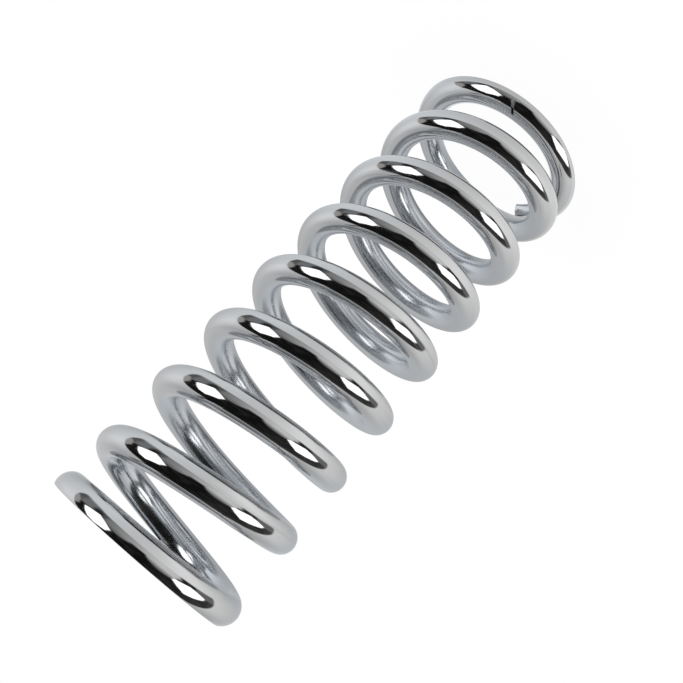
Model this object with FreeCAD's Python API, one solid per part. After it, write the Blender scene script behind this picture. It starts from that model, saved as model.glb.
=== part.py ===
# Coilover spring: a right-hand helical compression spring of round wire,
# with both ends closed and ground flat. It stands on its base end.
# Origin: middle of the base face. +Z runs up the spring's axis. Millimetres.
import FreeCAD, Part
import math
import os

V = FreeCAD.Vector

# Driving dimensions
inner_diameter = 63.5        # clears the seat registers and the damper body
wire_diameter = 13.1
free_length = 250.0          # over the two ground faces
total_turns = 8.86           # from wire tip to wire tip
base_tip_angle = 143.0       # where the wire starts, degrees from +X
tip_gap = 0.35               # each wire tip to the coil it closes against

# Base end
base_tip_height = -2.1       # wire centre above the ground face, at the tip
base_closed_pitch = 5.2      # rise of the closed coil, per turn
base_lift_turns = 0.21       # over which the pitch grows from closed to open
base_extra_pitch = 0.50      # of the open pitch, at the peak just past the lift

# Top end, the same four
top_tip_height = 2.1
top_closed_pitch = 1.8
top_lift_turns = 0.53
top_extra_pitch = 0.22

# Derived values
wire_radius = wire_diameter / 2
coil_radius = inner_diameter / 2 + wire_radius
base_end = (base_tip_height, base_closed_pitch, base_lift_turns, base_extra_pitch)
top_end = (top_tip_height, top_closed_pitch, top_lift_turns, top_extra_pitch)


# Rise of the wire's centre over some turns from an end's tip: the closed coil
# at its own pitch, an S-shaped change to the open pitch over the lift, and a
# hump of extra pitch that starts halfway up the lift and lasts 1.5 lifts
def rise(end, turns, closed_turns, open_pitch):
    height, closed_pitch, lift_turns, extra_pitch = end
    past = (turns - closed_turns) / lift_turns
    u = min(max(past, 0.0), 1.0)
    v = min(max((past - 0.5) / 1.5, 0.0), 1.0)
    opened = lift_turns * (u ** 3 - u ** 4 / 2 + max(past - 1.0, 0.0))
    hump = 1.5 * lift_turns * (v / 2 - math.sin(2 * math.pi * v) / (4 * math.pi))
    closed_rise = closed_pitch * (turns - opened)
    return closed_rise + open_pitch * (opened + extra_pitch * hump)


# Where a rising or falling function crosses zero between two values
def crossing(function, low, high):
    rising = function(high) > function(low)
    for step in range(60):
        middle = (low + high) / 2
        if (function(middle) < 0) == rising:
            low = middle
        else:
            high = middle
    return (low + high) / 2


# Length of closed coil that lets an end's tip clear the next coil
def closed_length(end, open_pitch):
    clear = wire_diameter + tip_gap
    return crossing(lambda turns: rise(end, 1.0, turns, open_pitch) - clear, -1.0, 1.0)


# Height gained from an end's tip to the middle of the wire
def half_rise(end, open_pitch):
    return rise(end, total_turns / 2, closed_length(end, open_pitch), open_pitch)


# The open pitch that fills the length between the two closed ends
centre_rise = free_length - base_tip_height - top_tip_height
steepest = 2 * centre_rise / total_turns
pitch = crossing(
    lambda p: half_rise(base_end, p) + half_rise(top_end, p) - centre_rise, 0.0, steepest
)
base_closed_turns = closed_length(base_end, pitch)
top_closed_turns = closed_length(top_end, pitch)


# Height of the wire's centre, at some turns from the base tip
def centre_height(turns):
    if turns <= total_turns / 2:
        return base_tip_height + rise(base_end, turns, base_closed_turns, pitch)
    drop = rise(top_end, total_turns - turns, top_closed_turns, pitch)
    return free_length - top_tip_height - drop


def centre_point(turns):
    angle = math.radians(base_tip_angle) + 2 * math.pi * turns
    x = coil_radius * math.cos(angle)
    y = coil_radius * math.sin(angle)
    return V(x, y, centre_height(turns))


def centre_tangent(turns):
    step = 1e-5
    first = max(turns - step, 0.0)
    last = min(turns + step, total_turns)
    return (centre_point(last) - centre_point(first)) / (last - first)


# One smooth edge of the wire's centre line
def centre_edge(first, last, points):
    turns = [first + (last - first) * i / (points - 1) for i in range(points)]
    curve = Part.BSplineCurve()
    curve.interpolate(
        Points=[centre_point(t) for t in turns],
        Parameters=turns,
        Tangents=[centre_tangent(t) for t in turns],
        TangentFlags=[True] * points,
        Scale=False,
    )
    return curve.toShape()


# The round wire, swept along its centre line about a quarter turn at a time
spans = math.ceil(4 * total_turns)
edges = []
for i in range(spans):
    first = total_turns * i / spans
    last = total_turns * (i + 1) / spans
    edges.append(centre_edge(first, last, 9))
centre_line = Part.Wire(edges)

section = Part.Wire(Part.Circle(centre_point(0), centre_tangent(0), wire_radius).toShape())
sweep = Part.BRepOffsetAPI.MakePipeShell(centre_line)
sweep.setFrenetMode(True)
sweep.setMaxDegree(3)
sweep.setMaxSegments(100)
sweep.add(section)
sweep.build()
sweep.makeSolid()
wire = sweep.shape()

# The two ends ground flat: what lies below and above the two faces is cut away
width = 4 * coil_radius
depth = 2 * wire_diameter
below = Part.makeBox(width, width, depth, V(-width / 2, -width / 2, -depth))
above = Part.makeBox(width, width, depth, V(-width / 2, -width / 2, free_length))
spring = wire.cut(below).cut(above).Solids[0]

os.makedirs("parts", exist_ok=True)
spring.exportStep("parts/coil_spring.step")

length = centre_line.Length
print("solids", len(spring.Solids), "valid", spring.isValid(), "faces", len(spring.Faces))
print("open pitch", round(pitch, 3))
print("closed turns", round(base_closed_turns, 4), round(top_closed_turns, 4))
print("whole wire", round(wire.Volume), "section x length", round(math.pi * wire_radius ** 2 * length))
print("ground spring", round(spring.Volume))
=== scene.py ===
"""Coilover spring: looks of the chromed wire, and the studio it is photographed in.

The spring stands on its base face at the origin, axis up Z, in metres. The wire's own surface is
worked out here with the sizes of the part's source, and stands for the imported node.
"""

import math

import bpy
import numpy as np
from mathutils import Matrix, Vector


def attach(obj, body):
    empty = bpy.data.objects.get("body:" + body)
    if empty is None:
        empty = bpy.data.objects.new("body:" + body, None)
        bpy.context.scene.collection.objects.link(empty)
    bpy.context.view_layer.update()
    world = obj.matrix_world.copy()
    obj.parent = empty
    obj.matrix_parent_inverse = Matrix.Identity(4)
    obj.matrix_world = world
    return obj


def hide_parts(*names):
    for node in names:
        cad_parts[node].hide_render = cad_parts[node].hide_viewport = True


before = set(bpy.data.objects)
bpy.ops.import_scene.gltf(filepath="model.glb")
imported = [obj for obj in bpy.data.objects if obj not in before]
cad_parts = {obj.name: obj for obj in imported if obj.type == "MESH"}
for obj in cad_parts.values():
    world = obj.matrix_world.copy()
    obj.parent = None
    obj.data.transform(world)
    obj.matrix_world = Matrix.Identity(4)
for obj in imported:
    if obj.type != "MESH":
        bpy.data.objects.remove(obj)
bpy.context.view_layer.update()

# ---------------------------------------------------------------- sizes
# The same driving dimensions as the part's source, in metres and turns.
INNER_DIAMETER = 0.0635
WIRE_DIAMETER = 0.0131
FREE_LENGTH = 0.250
TOTAL_TURNS = 8.86
BASE_TIP_ANGLE = math.radians(143.0)
TIP_GAP = 0.00035

# height of the wire's centre at the tip, pitch of the closed coil, turns of lift, extra pitch
BASE_END = (-0.0021, 0.0052, 0.21, 0.50)
TOP_END = (0.0021, 0.0018, 0.53, 0.22)

WIRE_RADIUS = WIRE_DIAMETER / 2
COIL_RADIUS = INNER_DIAMETER / 2 + WIRE_RADIUS
EDGE_RADIUS = 0.0004        # the broken edge round each ground face and wire tip

# the wire's mesh: points on each side of the section, and how many of them belong to a ground face
SIDE_POINTS = 40
FLAT_POINTS = 4
EDGE_POINTS = 4
BUNCH_ANGLE = math.radians(1.0)     # what they span where a face runs out of the wire
SPREAD_TURNS = 0.08                 # over which they then spread out evenly
STATIONS = 1180
CAP_RINGS = (0.7, 0.4, 0.15)


# ---------------------------------------------------------------- the wire's centre line
def rise(end, turns, closed_turns, open_pitch):
    """Height gained over some turns from an end's tip: the closed coil at its own pitch, an
    S-shaped change to the open pitch over the lift, and a hump of extra pitch that starts
    halfway up the lift and lasts 1.5 lifts."""
    height, closed_pitch, lift_turns, extra_pitch = end
    past = (turns - closed_turns) / lift_turns
    u = np.clip(past, 0, 1)
    v = np.clip((past - 0.5) / 1.5, 0, 1)
    opened = lift_turns * (u**3 - u**4 / 2 + np.maximum(past - 1, 0))
    hump = 1.5 * lift_turns * (v / 2 - np.sin(2 * np.pi * v) / (4 * np.pi))
    return closed_pitch * (turns - opened) + open_pitch * (opened + extra_pitch * hump)


def crossing(function, low, high):
    """The value between low and high where the function crosses zero, by halving."""
    rising = function(high) > function(low)
    for _ in range(60):
        middle = (low + high) / 2
        if (function(middle) < 0) == rising:
            low = middle
        else:
            high = middle
    return (low + high) / 2


def closed_length(end, open_pitch):
    """Turns of closed coil that let an end's tip clear the next coil."""
    clear = WIRE_DIAMETER + TIP_GAP
    return crossing(lambda turns: rise(end, 1.0, turns, open_pitch) - clear, -1.0, 1.0)


def spare_length(open_pitch):
    """How far an open pitch overshoots the length between the two tips."""
    halves = [rise(end, TOTAL_TURNS / 2, closed_length(end, open_pitch), open_pitch)
              for end in (BASE_END, TOP_END)]
    return sum(halves) - (FREE_LENGTH - BASE_END[0] - TOP_END[0])


OPEN_PITCH = crossing(spare_length, 0.0, 2 * FREE_LENGTH / TOTAL_TURNS)
BASE_CLOSED = closed_length(BASE_END, OPEN_PITCH)
TOP_CLOSED = closed_length(TOP_END, OPEN_PITCH)


def centre_height(turns):
    """Height of the wire's centre: measured up from the base end in the lower half of the wire,
    and down from the top end in the upper half."""
    up = BASE_END[0] + rise(BASE_END, turns, BASE_CLOSED, OPEN_PITCH)
    down = FREE_LENGTH - TOP_END[0] - rise(TOP_END, TOTAL_TURNS - turns, TOP_CLOSED, OPEN_PITCH)
    return np.where(turns <= TOTAL_TURNS / 2, up, down)


def wire_frames(turns):
    """Centre of the wire, and the outward and upward directions of its section. The tangent is
    the derivative of (R cos a, R sin a, height), and upward is outward x tangent."""
    angle = BASE_TIP_ANGLE + 2 * np.pi * turns
    after = np.minimum(turns + 1e-5, TOTAL_TURNS)
    before = np.maximum(turns - 1e-5, 0)
    slope = (centre_height(after) - centre_height(before)) / (after - before)
    around = 2 * np.pi * COIL_RADIUS
    outward = np.stack([np.cos(angle), np.sin(angle), 0 * angle], -1)
    tangent = np.stack([-around * np.sin(angle), around * np.cos(angle), slope], -1)
    tangent /= np.linalg.norm(tangent, axis=-1, keepdims=True)
    centre = COIL_RADIUS * outward
    centre[:, 2] = centre_height(turns)
    return centre, outward, np.cross(outward, tangent)


# ---------------------------------------------------------------- the wire's section
def smooth(value):
    """0 below 0, 1 above 1, and an S-shaped step between."""
    value = np.clip(value, 0, 1)
    return value * value * (3 - 2 * value)


def face_points(height, inset, spread):
    """Section points from the middle of one face's side round to where the plain arc starts.

    Where the face cuts the circle, they run along the chord and round its broken edge: the chord
    and arc of the circle and face moved in by the edge radius, then moved back out. Elsewhere
    they lie on the circle, bunched at the chord's end (spread 0) or evenly spaced (spread 1).
    Gives x, y with the face on the negative y side, and the angle reached."""
    radius = WIRE_RADIUS - inset
    height = height - inset
    edge = np.maximum(EDGE_RADIUS - inset, 1e-6)
    step = np.arange(FLAT_POINTS + EDGE_POINTS + 1)[None, :]
    ground = (height < radius - 1e-7)[:, None]
    cut_angle = np.arccos(np.clip((height - edge) / (radius - edge), -1, 1))
    half_chord = (radius - edge) * np.sin(cut_angle)
    turned = np.clip((step - FLAT_POINTS) / EDGE_POINTS, 0, 1) * cut_angle[:, None]
    along_chord = np.clip(step / FLAT_POINTS, 0, 1) * half_chord[:, None]
    x_face = along_chord + edge[:, None] * np.sin(turned)
    y_face = -height[:, None] + edge[:, None] * (1 - np.cos(turned))
    last = FLAT_POINTS + EDGE_POINTS
    plain_angle = BUNCH_ANGLE * (1 - spread) + np.pi * last / SIDE_POINTS * spread
    angle = step / last * plain_angle[:, None]
    x = np.where(ground, x_face, radius[:, None] * np.sin(angle))
    y = np.where(ground, y_face, -radius[:, None] * np.cos(angle))
    return x, y, np.where(ground[:, 0], cut_angle, plain_angle)


def wire_section(turns, inset, up_z):
    """The section's outline at each station: a circle with a chord where a ground face cuts it,
    as x outward and y upward. It runs from the lowest point up the outer side and down the
    inner one."""
    above_base = centre_height(turns) / up_z
    below_top = (FREE_LENGTH - centre_height(turns)) / up_z
    base_end = turns[above_base < WIRE_RADIUS].max()
    top_start = turns[below_top < WIRE_RADIUS].min()
    base_spread = smooth((turns - base_end) / SPREAD_TURNS)
    top_spread = smooth((top_start - turns) / SPREAD_TURNS)
    x_low, y_low, low = face_points(above_base, inset, base_spread)
    x_top, y_top, top = face_points(below_top, inset, top_spread)
    count = SIDE_POINTS - 2 * (FLAT_POINTS + EDGE_POINTS)
    share = np.arange(1, count)[None, :] / count
    angle = low[:, None] + (np.pi - top - low)[:, None] * share
    radius = (WIRE_RADIUS - inset)[:, None]
    x = np.concatenate([x_low, radius * np.sin(angle), x_top[:, ::-1]], 1)
    y = np.concatenate([y_low, -radius * np.cos(angle), -y_top[:, ::-1]], 1)
    x = np.concatenate([x, -x[:, -2:0:-1]], 1)
    y = np.concatenate([y, y[:, -2:0:-1]], 1)
    return x, y


def wire_stations():
    """Turns of the stations, and how far each section is drawn in: the last few at each tip
    follow a quarter circle, which breaks the cut end's edge."""
    quarter = np.linspace(0, np.pi / 2, EDGE_POINTS + 1)[:-1]
    tip = EDGE_RADIUS * (1 - np.cos(quarter)) / (2 * np.pi * COIL_RADIUS)
    drawn_in = EDGE_RADIUS * (1 - np.sin(quarter))
    reach = EDGE_RADIUS / (2 * np.pi * COIL_RADIUS)
    plain = np.linspace(reach, TOTAL_TURNS - reach, STATIONS - 2 * EDGE_POINTS)
    turns = np.concatenate([tip, plain, TOTAL_TURNS - tip[::-1]])
    return turns, np.concatenate([drawn_in, 0 * plain, drawn_in[::-1]])


def wire_surface():
    """The wire as a grid of points: each station's section, carried along the centre line."""
    turns, inset = wire_stations()
    centre, outward, upward = wire_frames(turns)
    x, y = wire_section(turns, inset, upward[:, 2])
    points = centre[:, None] + x[..., None] * outward[:, None] + y[..., None] * upward[:, None]
    return turns, points


# ---------------------------------------------------------------- meshes
def tube_faces(rows, around):
    """Quads of a grid of rows whose points close on themselves."""
    row, j = np.meshgrid(np.arange(rows - 1) * around, np.arange(around), indexing="ij")
    k = (j + 1) % around
    return np.stack([row + j, row + around + j, row + around + k, row + k], -1).reshape(-1, 4)


def make_mesh(name, points, faces, place=None):
    """An object from an array of points and a list of face arrays, shaded smooth. The points'
    places on the wire, if given, become the attribute 'wire'."""
    mesh = bpy.data.meshes.new(name)
    mesh.from_pydata(points.tolist(), [], [face for part in faces for face in part.tolist()])
    mesh.polygons.foreach_set("use_smooth", np.ones(len(mesh.polygons), bool))
    if place is not None:
        layer = mesh.attributes.new("wire", "FLOAT_VECTOR", "POINT")
        layer.data.foreach_set("vector", place.astype(np.float32).ravel())
    mesh.update()
    thing = bpy.data.objects.new(name, mesh)
    bpy.context.scene.collection.objects.link(thing)
    return thing


def chromed_spring():
    """The wire's surface with a flat cap of shrinking rings on each cut tip. The attribute
    'wire' holds, for every point, the length along the wire and the two section directions."""
    turns, surface = wire_surface()
    rows, around = surface.shape[:2]
    points = [surface.reshape(-1, 3)]
    faces = [tube_faces(rows, around)]
    along = [np.repeat(turns, around)]
    edge_of_cap = (np.arange(around), (rows - 1) * around + np.arange(around))
    count = rows * around
    for side, edge in enumerate(edge_of_cap):
        outline = surface[-side]
        middle = outline.mean(0)
        ring = edge
        for share in CAP_RINGS:
            points.append(middle + share * (outline - middle))
            inner = count + np.arange(around)
            strip = np.stack([ring, np.roll(ring, -1), np.roll(inner, -1), inner], -1)
            faces.append(strip if side == 0 else strip[:, ::-1])
            ring = inner
            count += around
        points.append(middle[None])
        fan = np.stack([ring, np.roll(ring, -1), np.full(around, count)], -1)
        faces.append(fan if side == 0 else fan[:, ::-1])
        count += 1
        along.append(np.full(len(CAP_RINGS) * around + 1, turns[-side]))
    points = np.concatenate(points)
    along = np.concatenate(along)
    centre, outward, upward = wire_frames(along)
    offset = points - centre
    place = np.stack([along * 2 * np.pi * COIL_RADIUS,
                      (offset * outward).sum(1), (offset * upward).sum(1)], -1)
    return make_mesh("chromed_spring", points, faces, place)


# ---------------------------------------------------------------- shader maths
class Sock:
    """A socket that adds its Math nodes when it is used in an expression."""

    def __init__(self, tree, socket):
        self.tree, self.socket = tree, socket

    def math(self, operation, *values):
        return self.tree.node("ShaderNodeMath", {"operation": operation},
                              dict(enumerate((self,) + values)))

    def __add__(self, other): return self.math("ADD", other)
    def __radd__(self, other): return self.math("ADD", other)
    def __mul__(self, other): return self.math("MULTIPLY", other)
    def __rmul__(self, other): return self.math("MULTIPLY", other)
    def __sub__(self, other): return self.math("SUBTRACT", other)
    def __neg__(self): return self.math("MULTIPLY", -1.0)
    def __rsub__(self, other): return (-self) + other
    def __truediv__(self, other): return self.math("DIVIDE", other)

    def step(self, low, high):
        """0 at low, 1 at high, S-shaped between."""
        settings = {"interpolation_type": "SMOOTHSTEP"}
        return self.tree.node("ShaderNodeMapRange", settings,
                              {"Value": self, "From Min": low, "From Max": high})

    def bell(self, centre, width):
        """1 at a centre, falling away on both sides as exp(-((x - centre) / width)^2)."""
        away = (self - centre) * (1 / width)
        return (-(away * away)).math("EXPONENT")

    def least(self, other): return self.math("MINIMUM", other)
    def most(self, other): return self.math("MAXIMUM", other)
    def root(self): return self.math("SQRT")


class Tree:
    """The node tree of a new material, or of the world."""

    def __init__(self, owner):
        owner.use_nodes = True
        self.tree = owner.node_tree
        self.tree.nodes.clear()

    def node(self, kind, settings=None, inputs=None, output=0):
        """Adds a node: its settings first, then the values or links of its sockets."""
        node = self.tree.nodes.new(kind)
        for name, value in (settings or {}).items():
            setattr(node, name, value)
        for name, value in (inputs or {}).items():
            if isinstance(value, Sock):
                self.tree.links.new(value.socket, node.inputs[name])
            else:
                node.inputs[name].default_value = value
        return Sock(self, node.outputs[output]) if node.outputs else None

    def parts(self, vector):
        """The three values of a vector."""
        first = self.node("ShaderNodeSeparateXYZ", None, {0: vector})
        return [Sock(self, output) for output in first.socket.node.outputs]

    def mix_colours(self, share, first, second):
        """first where share is 0, second where it is 1."""
        return self.node("ShaderNodeMix", {"data_type": "RGBA"},
                         {"Factor": share, 6: first, 7: second}, output=2)

    def scaled(self, vector, factor):
        """A vector or colour times a number."""
        return self.node("ShaderNodeVectorMath", {"operation": "SCALE"},
                         {0: vector, "Scale": factor})

    def noise(self, vector, scale, detail, turn=0.0):
        """Noise at so many features per metre along each axis of a vector, turned about Z."""
        mapped = self.node("ShaderNodeMapping", None, {
            "Vector": vector, "Scale": scale, "Rotation": (0.0, 0.0, turn)})
        return self.node("ShaderNodeTexNoise", None, {
            "Vector": mapped, "Scale": 1.0, "Detail": detail})

    def object_place(self):
        """The point's own coordinates, in metres."""
        return self.node("ShaderNodeTexCoord", output=3)

    def glow(self, colour, kind="ShaderNodeEmission"):
        """Light of a colour, given off as it is."""
        return self.node(kind, None, {"Color": colour, "Strength": 1.0})


# ---------------------------------------------------------------- the chrome
CHROME_SHARE = 0.56         # of the light, thrown back by bright chrome plate
CHROME = (CHROME_SHARE, 0.563, 0.568, 1.0)
# satin chrome for the coils' inner sides, lighter and bluer than the plate: painted light for the
# brighter, bluer look of the insides
SATIN_CHROME_WITH_PAINTED_LIGHT = (0.635, 0.66, 0.69, 1.0)
DEGREES = 180 / math.pi
FACE_DEPTH = 0.00004        # how near a ground face's height a point has to be to lie on it
NICK_PLACE = 0.0901         # metres along the wire from the base tip
NICK_SLANT = 0.000057       # metres along the wire for each degree round it
BUMP_DEPTH = 0.00006


def chromed_wire():
    """Bright chrome on drawn wire: a mirror where a polishing wheel reaches it, on the outer side
    and a little way in from both ends, and satin inside the coils, with long drawing lines and
    shallow waves all over. The satin inside also gets a lighter, bluer colour than the mirror,
    which is painted light on the coils' inner sides. The two ground faces keep their grinding
    lines."""
    material = bpy.data.materials.new("chromed_wire")
    tree = Tree(material)
    place = tree.node("ShaderNodeAttribute", {"attribute_name": "wire"}, output=1)
    along, out, up = tree.parts(place)
    inner = (out * (1 / WIRE_RADIUS)).step(0.1, -0.75)
    middle = along.step(0.30, 0.55) * along.step(1.85, 1.60)

    lines = tree.noise(place, (14.0, 700.0, 700.0), 1.0)
    waves = tree.noise(place, (60.0, 110.0, 110.0), 1.0)
    scratches = lines.step(0.60, 0.74)

    # a nick across the upper outer side of the first ring, with a rubbed patch beside it; the
    # angle goes from the top of the wire to its outer side
    angle = out.math("ARCTAN2", up) * DEGREES
    from_nick = (along - angle * NICK_SLANT - NICK_PLACE).math("ABSOLUTE")
    nick = from_nick.step(0.0009, 0.0004) * angle.step(5, 9) * angle.step(36, 30)
    rubbed = from_nick.step(0.0017, 0.0002) * angle.step(24, 38) * angle.step(68, 52)

    # the ground faces, with straight grinding lines across
    position = tree.object_place()
    half_length = FREE_LENGTH / 2
    from_middle = (tree.parts(position)[2] - half_length).math("ABSOLUTE")
    ground = from_middle.step(half_length - FACE_DEPTH, half_length - FACE_DEPTH / 4)
    grinding = tree.noise(position, (60.0, 2400.0, 1.0), 2.0, turn=0.4)

    haze = (0.05 + inner * (0.09 + 0.08 * middle) + 0.03 * lines + 0.08 * scratches
            + 0.3 * nick + 0.34 * rubbed + ground * (0.16 + 0.16 * grinding))
    shade = (1 - 0.07 * scratches) * (1 - 0.97 * nick)
    drawn = (waves + 0.04 * lines) * (1 - ground) * (1 - 0.6 * inner)
    bump = tree.node("ShaderNodeBump", None, {
        "Strength": 1.0, "Distance": BUMP_DEPTH,
        "Height": drawn + 0.12 * grinding * ground - 0.6 * nick})
    # the inner side takes the lighter, bluer satin colour: painted light on the coils' insides
    shader = tree.node("ShaderNodeBsdfPrincipled", None, {
        "Base Color": tree.scaled(tree.mix_colours(inner, CHROME, SATIN_CHROME_WITH_PAINTED_LIGHT), shade),
        "Metallic": 1.0, "Roughness": haze, "Normal": bump})
    tree.node("ShaderNodeOutputMaterial", None, {"Surface": shader})
    return material


# ---------------------------------------------------------------- the studio
# Azimuths are in degrees from the camera's side, positive towards +X, and elevations are seen
# from a point over the base. Levels are grey levels from 0 to 1 as the chrome shows them.
SURROUND_RADIUS = 0.95
SURROUND_HEIGHT = 0.10
SURROUND_POINTS = 96        # round it
SURROUND_ROWS = 47          # between its two poles
FLOOR_RADIUS = 0.32
FLOOR_POINTS = 128
FLOOR_DROP = 0.00002        # keeps the floor just clear of the base face


def azimuth_of(x, y):
    """Degrees from the camera's side, positive towards +X."""
    return x.math("ARCTAN2", -y) * DEGREES


def as_light(tree, level, warm):
    """The light that bright chrome throws back as this grey level, made warmer by a share."""
    tint = tree.node("ShaderNodeCombineXYZ", None, {0: 1 + warm, 1: 1.0, 2: 1 - warm})
    strength = ((level + 0.055) * (1 / 1.055)).math("POWER", 2.4) * (1 / CHROME_SHARE)
    return tree.scaled(tint, strength)


def corner_mask(azimuth, elevation, corners, soft):
    """1 inside a convex panel given by its corners in degrees, clockwise: the least of the
    distances to its edges, stepped over a soft width."""
    inside = None
    for (a, b), (c, d) in zip(corners, corners[1:] + corners[:1]):
        length = math.hypot(c - a, d - b)
        distance = ((azimuth - a) * (d - b) - (elevation - b) * (c - a)) * (1 / length)
        inside = distance if inside is None else inside.least(distance)
    return inside.step(-soft, soft)


def round_mask(azimuth, elevation, centre, radii, soft):
    """1 inside an ellipse given in degrees, with a soft edge as a share of its size."""
    across = (azimuth - centre[0]) * (1 / radii[0])
    up = (elevation - centre[1]) * (1 / radii[1])
    distance = (across * across + up * up).root()
    return distance.step(1 + soft, 1 - soft)


def white_level(azimuth):
    """The white table and tent, low down: brightest under the two soft boxes on the camera's
    side, and falling off behind the spring."""
    behind = azimuth.math("ABSOLUTE").step(105, 180)
    return 0.71 + 0.115 * azimuth.bell(-56, 44) + 0.055 * azimuth.bell(80, 42) - 0.125 * behind


def white_warmth(azimuth):
    """The white is a little bluer towards +X."""
    return -0.03 * azimuth.step(-10, 60)


def surround_material():
    """A white tent behind the spring and a white table in front of it, the dark of the room
    above the table on the camera's side, and two large soft boxes in it."""
    material = bpy.data.materials.new("surround")
    tree = Tree(material)
    place = tree.object_place()
    x, y, z = tree.parts(place)
    azimuth = azimuth_of(x, y)
    elevation = ((z - SURROUND_HEIGHT) * (1 / SURROUND_RADIUS)).math("ARCSINE") * DEGREES

    # the dark of the room, with faint shapes in it
    shapes = tree.noise(place, (6.0, 6.0, 6.0), 2.0)
    level = (0.06 + 0.045 * azimuth.step(-8, -40) + 0.06 * azimuth.step(-50, -85)
             + 0.06 * shapes.step(0.45, 0.70))
    warm = 0.04 * shapes.step(0.35, 0.65)

    def paint(mask, new_level, new_warm=0.0):
        nonlocal level, warm
        level = level + (new_level - level) * mask
        warm = warm + (new_warm - warm) * mask

    def panel(corners, soft, new_level, new_warm=0.0):
        paint(corner_mask(azimuth, elevation, corners, soft), new_level, new_warm)

    # a grey bank behind the camera with two round tops
    bank_corners = [(-46, -40), (-44, 3), (0, 6.5), (12, 9), (48, 3), (54, -40)]
    bank = corner_mask(azimuth, elevation, bank_corners, 4)
    left_top = round_mask(azimuth, elevation, (-21, -2), (20, 29), 0.16)
    right_top = round_mask(azimuth, elevation, (32, -5), (20, 29), 0.14)
    fall = (azimuth + 18).most(0) * 0.0045
    fade = (elevation - 4).most(0) * (0.018 - 0.011 * azimuth.step(-5, 15))
    paint(bank.most(left_top).most(right_top), 0.72 - fall - fade)

    # grey and dark things at its two sides
    panel([(-99, -40), (-99, 1), (-78, 3), (-64, -6), (-64, -40)], 3, 0.37)
    panel([(49, -40), (49, 3), (99, 3), (99, -40)], 3, 0.30)
    paint(round_mask(azimuth, elevation, (61, -5), (7, 8), 0.3), 0.14)
    panel([(67, -40), (67, 9), (86, 11), (84, -40)], 4, 0.41, -0.04)
    panel([(90, 0), (85, 8), (85, 21), (92, 28), (99, 28), (99, -3)], 2.5, 0.54, 0.045)

    # two soft boxes
    panel([(-56, -6), (-66, -4), (-78, 2), (-77, 11), (-69, 28), (-61, 38), (-46, 29), (-36, 18),
           (-38, 9)], 1.5, 1.1, 0.01)
    panel([(56, 2), (48, 11), (38, 28), (47, 43), (70, 50), (76, 42), (77, 14), (67, 8)], 1.5, 1.1)

    # the white tent and table round the room, and a light strip above the open tent
    aside = azimuth.math("ABSOLUTE")
    tent_rise = 0.06 * elevation.step(-8, 25) * aside.step(130, 175)
    tent_glow = 0.07 * azimuth.bell(115, 35) * elevation.bell(28, 22)
    tent_fall = -0.12 * elevation.step(15, 60) * aside.step(160, 120)
    white = white_level(azimuth) + tent_rise + tent_glow + tent_fall
    white_warm = (white_warmth(azimuth) * (1 - 0.4 * elevation.step(-20, 10))
                  - 0.03 * azimuth.step(-110, -150))
    side = azimuth.step(52, 70)
    table_edge = (elevation + 19 + 3.5 * side) / (3.5 + 2.5 * side)
    front = azimuth.step(-94, -90) * azimuth.step(97, 94)
    room = (front * table_edge.step(-1, 1)).most(elevation.step(61, 69))
    paint(1 - room, white, white_warm)
    paint(elevation.bell(77, 3) * y.step(0.0, 0.1), 0.9)

    tree.node("ShaderNodeOutputMaterial", None, {
        "Surface": tree.glow(as_light(tree, level, warm))})
    return material


def surround():
    """A sphere round spring and camera that only lights and is reflected: radius times
    (cos e cos a, cos e sin a, sin e) about a point over the base."""
    around, rows = SURROUND_POINTS, SURROUND_ROWS
    a = np.linspace(0, 2 * np.pi, around, endpoint=False)
    e = np.linspace(-np.pi / 2, np.pi / 2, rows + 2)[1:-1, None]
    points = SURROUND_RADIUS * np.stack(
        [np.cos(e) * np.cos(a), np.cos(e) * np.sin(a), np.sin(e) + 0 * a], -1).reshape(-1, 3)
    points = np.concatenate([points, [[0, 0, -SURROUND_RADIUS], [0, 0, SURROUND_RADIUS]]])
    points[:, 2] += SURROUND_HEIGHT
    first = np.arange(around)
    last = (rows - 1) * around + first
    low = np.stack([first, np.roll(first, -1), np.full(around, rows * around)], -1)
    high = np.stack([np.roll(last, -1), last, np.full(around, rows * around + 1)], -1)
    thing = make_mesh("surround", points, [tube_faces(rows, around), low, high])
    thing.data.materials.append(surround_material())
    thing.visible_camera = False


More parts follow.
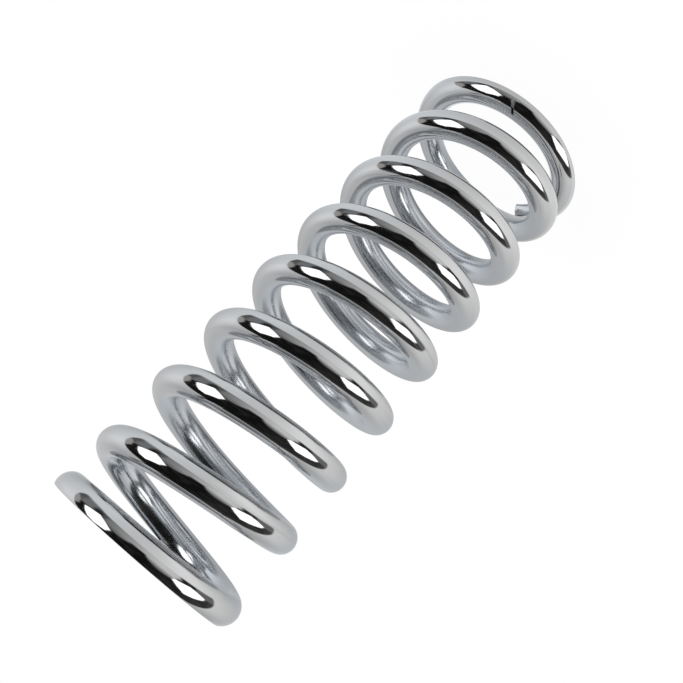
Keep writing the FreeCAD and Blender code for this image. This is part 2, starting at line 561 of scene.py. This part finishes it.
def floor_material():
    """White table: lit and shadowed as paint, with most of its white given as its own light to the
    camera, and as light of the table's level to polished metal. That light has a painted contact
    shadow round the spring's base."""
    material = bpy.data.materials.new("floor")
    tree = Tree(material)
    x, y, _ = tree.parts(tree.object_place())
    from_axis = (x * x + y * y).root()
    azimuth = azimuth_of(x, y)
    # painted shadow: the table's level as polished metal sees it is a little darker near the axis,
    # round the base
    level = white_level(azimuth) * (0.95 + 0.05 * from_axis.step(0.03, 0.12))
    reflected_with_painted_shadow = as_light(tree, level, white_warmth(azimuth))

    path = tree.node("ShaderNodeLightPath").socket.node.outputs
    camera_ray, glossy_ray = Sock(tree, path["Is Camera Ray"]), Sock(tree, path["Is Glossy Ray"])
    paint = tree.node("ShaderNodeBsdfDiffuse", None, {"Color": (0.8, 0.8, 0.8, 1)})
    white = 0.9 + 0.1 * from_axis.step(0.05, 0.20)
    colour = tree.mix_colours(glossy_ray, (1.06, 1.06, 1.06, 1), reflected_with_painted_shadow)
    share = (white * camera_ray).most(glossy_ray)
    surface = tree.node("ShaderNodeMixShader", None, {0: share, 1: paint, 2: tree.glow(colour)})
    tree.node("ShaderNodeOutputMaterial", None, {"Surface": surface})
    return material


def floor():
    """A round table top, just under the base face."""
    a = np.linspace(0, 2 * np.pi, FLOOR_POINTS, endpoint=False)
    points = np.stack([FLOOR_RADIUS * np.cos(a), FLOOR_RADIUS * np.sin(a), 0 * a], -1)
    points = np.concatenate([points, [[0, 0, 0]]])
    points[:, 2] -= FLOOR_DROP
    rim = np.arange(FLOOR_POINTS)
    middle = np.full(FLOOR_POINTS, FLOOR_POINTS)
    thing = make_mesh("floor", points, [np.stack([rim, np.roll(rim, -1), middle], -1)])
    thing.data.materials.append(floor_material())


def backdrop():
    """The white that the camera sees behind everything."""
    world = bpy.data.worlds.new("backdrop")
    bpy.context.scene.world = world
    tree = Tree(world)
    path = tree.node("ShaderNodeLightPath")
    camera_ray = Sock(tree, path.socket.node.outputs["Is Camera Ray"])
    colour = tree.mix_colours(camera_ray, (0.9, 0.9, 0.9, 1), (1, 1, 1, 1))
    tree.node("ShaderNodeOutputWorld", None, {
        "Surface": tree.glow(colour, "ShaderNodeBackground")})


def camera():
    """The photograph's camera: a third of a metre in front of the axis and just below the
    spring's top, looking down a little, rolled so that the spring lies across the picture."""
    lens = bpy.data.cameras.new("camera")
    lens.lens = 40.925
    lens.sensor_width = 36.0
    thing = bpy.data.objects.new("camera", lens)
    forward = Vector((-0.01150692, 0.94805814, -0.31788890)).normalized()
    right = Vector((-0.75121311, -0.21801780, -0.62301453)).normalized()
    up = right.cross(forward)
    turn = Matrix((right, up, -forward)).transposed()
    thing.matrix_world = Matrix.Translation((0, -0.3279995, 0.2370656)) @ turn.to_4x4()
    bpy.context.scene.collection.objects.link(thing)
    bpy.context.scene.camera = thing


# ---------------------------------------------------------------- making
spring = chromed_spring()
spring.data.materials.append(chromed_wire())
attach(spring, "root")
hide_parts("coil_spring")

surround()
floor()
backdrop()
camera()
bpy.context.scene.view_settings.view_transform = "Standard"
